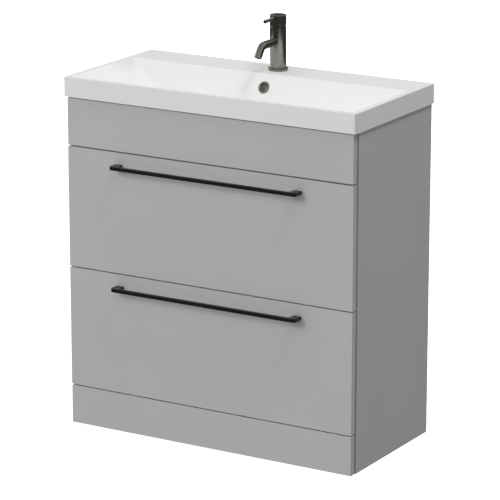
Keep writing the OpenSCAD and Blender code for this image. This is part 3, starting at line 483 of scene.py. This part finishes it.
# base ring: a loose collar with a rounded shoulder and a fine gap to the body
collar = {"gap": 0.1 * mm, "foot": 0.3 * mm, "shoulder": 1.6 * mm, "chamfer": 0.6 * mm}
inner, outer, low, high = tapRadius + collar["gap"], (ringHigh.x - ringLow.x) / 2, ringLow.z, ringHigh.z
foot, shoulder, chamfer = collar["foot"], collar["shoulder"], collar["chamfer"]
cut = cornerCut * shoulder
profile = [(inner, low), (outer - foot, low), (outer, low + foot), (outer, high - shoulder),
           (outer - cut, high - cut), (outer - shoulder, high), (inner + chamfer, high),
           (inner, high - chamfer), (inner, low)]
baseRing = turnedPiece(profile)
placePiece(baseRing, 0, (0, tapY, 0))
finishPiece(baseRing, "tap_base_ring_turned", "cabinet", "tap_base_ring", gunmetalPlate)

# handle cap: a cup, solid on top, with a chamfered rim, and cut back behind the pivot so that it can lift;
# the rim's points are shares of its size, inward and down from the top
cup = {"wall": 1.7 * mm, "solid": 11 * mm, "foot": 0.3 * mm, "rim": 1.4 * mm, "liftAngle": 20, "pole": 4 * mm,
       "rimPoints": ((0, 1), (0.3, 0.4), (0.9, 0))}
inner, low, high, underside = tapRadius - cup["wall"], capLow.z, capHigh.z, capHigh.z - cup["solid"]
profile = [(cup["pole"], underside), (inner, underside), (inner, low), (tapRadius - cup["foot"], low),
           (tapRadius, low + cup["foot"])]
profile += [(tapRadius - inward * cup["rim"], high - down * cup["rim"]) for inward, down in cup["rimPoints"]]
profile.append((cup["pole"], high))
cap = turnedPiece(profile, closed=False)
placePiece(cap, 0, (0, tapY, 0))
editAll(cap)
lift = math.radians(cup["liftAngle"])
bpy.ops.mesh.bisect(plane_co=(0, tapY, low), plane_no=(0, math.sin(lift), -math.cos(lift)), use_fill=True,
                    clear_outer=True)
objectMode()
fixNormals(cap)
finishPiece(cap, "tap_handle_cap_turned", "tap_lever", "tap_handle_cap", gunmetalPlate)
print("tap body and handle made")

# spout: a straight arm, a bend and a straight end with an eased edge and a thin wall at its mouth
spout = {"radius": 10 * mm, "height": 72.5 * mm, "bend": 55, "bendRadius": 20 * mm, "end": 21 * mm,
         "reach": 97 * mm, "wall": 1.4 * mm, "mouthDepth": 5.5 * mm, "inBody": 14 * mm, "lip": 0.5 * mm,
         "sides": 64, "bendSteps": 24}
bend, armHeight = math.radians(spout["bend"]), deck + spout["height"]
armStart = tapY - spout["inBody"]
armEnd = tapY - spout["reach"] + spout["bendRadius"] * math.sin(bend) + spout["end"] * math.cos(bend)
bendCentre = Vector((0, armEnd, armHeight - spout["bendRadius"]))
bendEnd = bendCentre + spout["bendRadius"] * Vector((0, -math.sin(bend), math.cos(bend)))
onward = Vector((0, -math.cos(bend), -math.sin(bend)))
mouth = bendEnd + spout["end"] * onward
clearSelection()
bpy.ops.mesh.primitive_circle_add(vertices=spout["sides"], radius=spout["radius"], fill_type="NGON",
                                  rotation=(math.radians(90), 0, 0), location=(0, armStart, armHeight))
tube = bpy.context.object
bpy.ops.object.transform_apply(location=True, rotation=True)
editAll(tube, "FACE")
bpy.ops.mesh.extrude_region_move(TRANSFORM_OT_translate={"value": (0, armEnd - armStart, 0)})
bpy.ops.mesh.spin(steps=spout["bendSteps"], angle=-bend, center=bendCentre, axis=(1, 0, 0))
bpy.ops.mesh.extrude_region_move(TRANSFORM_OT_translate={"value": onward * (spout["end"] - spout["lip"])})
mouthSteps = ((spout["lip"], 1 - spout["lip"] / spout["radius"]), (0, 1 - spout["wall"] / spout["radius"]),
              (-spout["mouthDepth"], 1.0))
for move, ratio in mouthSteps:
    bpy.ops.mesh.extrude_region_move(TRANSFORM_OT_translate={"value": onward * move})
    bpy.ops.transform.resize(value=(ratio, ratio, ratio), center_override=mouth)
objectMode()
fixNormals(tube)
finishPiece(tube, "tap_spout_bent", "cabinet", "tap_spout", gunmetalPlate)

# lever pin: a slim cone with a rounded end, drooping a little; the tip's points are in mm, inward and back
pin = {"neck": 3.5 * mm, "tip": 5 * mm, "reach": 64.5 * mm, "droop": 3, "seat": 7.9 * mm, "belowTop": 6 * mm,
       "backRadius": 0.8 * mm, "backRise": 0.4 * mm,
       "tipPoints": ((0.05, 1.2), (0.25, 0.5), (0.8, 0.12), (1.5, 0))}
end, tip = pin["reach"] - tapRadius, pin["tip"]
profile = [(pin["backRadius"], -pin["seat"]), (pin["neck"], pin["backRise"] - pin["seat"]), (pin["neck"], 0)]
profile += [(tip - inward * mm, end - back * mm) for inward, back in pin["tipPoints"]]
lever = turnedPiece(profile, closed=False, sides=48)
placePiece(lever, 90 + pin["droop"], (0, tapY - tapRadius, capHigh.z - pin["belowTop"]))
finishPiece(lever, "tap_lever_pin_turned", "tap_lever", "tap_lever_pin", gunmetalPlate)
print("spout and lever made")


# overflow ring: a domed lip on the bowl's back wall, with a short tube into the overflow hole; its points are
# in mm: the flank's inward and up from the wall, the crest's inward and down from the lip's top, and the
# throat's outward from the hole and down from the lip's top
overflow = {"outer": 15.5 * mm, "inner": 9 * mm, "tube": 11.4 * mm, "lip": 2.1 * mm, "depth": 5 * mm,
            "slope": 65, "offWall": 0.1 * mm, "flank": ((0.2, 0.1), (0, 0.4), (0.3, 1.2)),
            "crest": ((1.3, 0.2), (2.6, 0)), "throat": ((1.6, 0.3), (0.4, 0.9), (0, 1.9))}
slope, lip, depth = math.radians(overflow["slope"]), overflow["lip"], overflow["depth"]
outer, inner, neck = overflow["outer"], overflow["inner"], overflow["tube"]
ringLow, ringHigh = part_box("overflow_ring")
ringPlace = (0, ringLow.y + lip * math.sin(slope) + outer * math.cos(slope),
             ringHigh.z - lip * math.cos(slope) - outer * math.sin(slope))
profile = [(neck, -depth), (neck, overflow["offWall"])]
profile += [(outer - inward * mm, up * mm) for inward, up in overflow["flank"]]
profile += [(outer - inward * mm, lip - down * mm) for inward, down in overflow["crest"]]
profile += [(inner + outward * mm, lip - down * mm) for outward, down in overflow["throat"]]
profile += [(inner, -depth), (neck, -depth)]
ring = turnedPiece(profile, sides=64)
placePiece(ring, overflow["slope"], ringPlace)
finishPiece(ring, "overflow_ring_turned", "cabinet", "overflow_ring", gunmetalPlate)

# plug: a shallow dome on a stem, with its seal in one piece; the edge's points are in mm, inward and down
# from the top, and the crown's are a share of the radius and mm down
plugLow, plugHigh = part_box("waste_plug")
plug = {"stem": 4 * mm, "thick": 4 * mm, "seal": 15 * mm, "sealThick": 2 * mm, "foot": 0.6 * mm,
        "edge": ((0, 2), (0.5, 1.3), (2, 0.8)), "crown": ((0.7, 0.35), (0.35, 0.05), (0.1, 0))}
rim, top, under = (plugHigh.x - plugLow.x) / 2, plugHigh.z, plugHigh.z - plug["thick"]
profile = [(plug["stem"], plugLow.z), (plug["stem"], under - plug["sealThick"]),
           (plug["seal"], under - plug["sealThick"]), (plug["seal"], under), (rim - plug["foot"], under),
           (rim, under + plug["foot"])]
profile += [(rim - inward * mm, top - down * mm) for inward, down in plug["edge"]]
profile += [(share * rim, top - down * mm) for share, down in plug["crown"]]
dome = turnedPiece(profile, closed=False, sides=80)
placePiece(dome, 0, (0, (plugLow.y + plugHigh.y) / 2, 0))
finishPiece(dome, "waste_plug_domed", "plug", "waste_plug", gunmetalPlate)
print("ring and plug made")


plumbing = {"mouldedEdge": 0.8 * mm, "turnedEdge": 0.4 * mm}
for node in ("trap_body", "trap_cup", "trap_inlet_nut", "trap_outlet_nut", "trap_outlet_pipe"):
    easedCopy(node, "cabinet", plumbing["mouldedEdge"], whitePolypropylene, segments=2)
for node in ("waste_body", "waste_backnut"):
    easedCopy(node, "cabinet", plumbing["turnedEdge"], gunmetalPlate, segments=2)
print("waste and trap made")


# screws, runners, seals and other fittings are shown as they are, each in its own finish
finishes = {"lacquer": greyLacquer, "inside_board": greyMelamine, "zinc_steel": zincPlate,
            "glazed_ceramic": whiteGlaze, "gunmetal_plate": gunmetalPlate, "handle_coating": blackAnodising,
            "drawer_steel": drawerPowderCoat, "white_plastic": whitePolypropylene, "grey_plastic": greyAcetal,
            "grey_rubber": softRubber}
shadedMouthFinish = {"tap_aerator": mouthShadeAcetal}  # the plastic insert in the spout's mouth, coloured near black as painted shade for the recessed mouth
for part in frame["record"]["subparts"]:
    for materialSlot in frame["nodes"][part["node"]].material_slots:
        materialSlot.material = shadedMouthFinish.get(part["node"], finishes[part["material_slot"]])
print("fittings dressed")
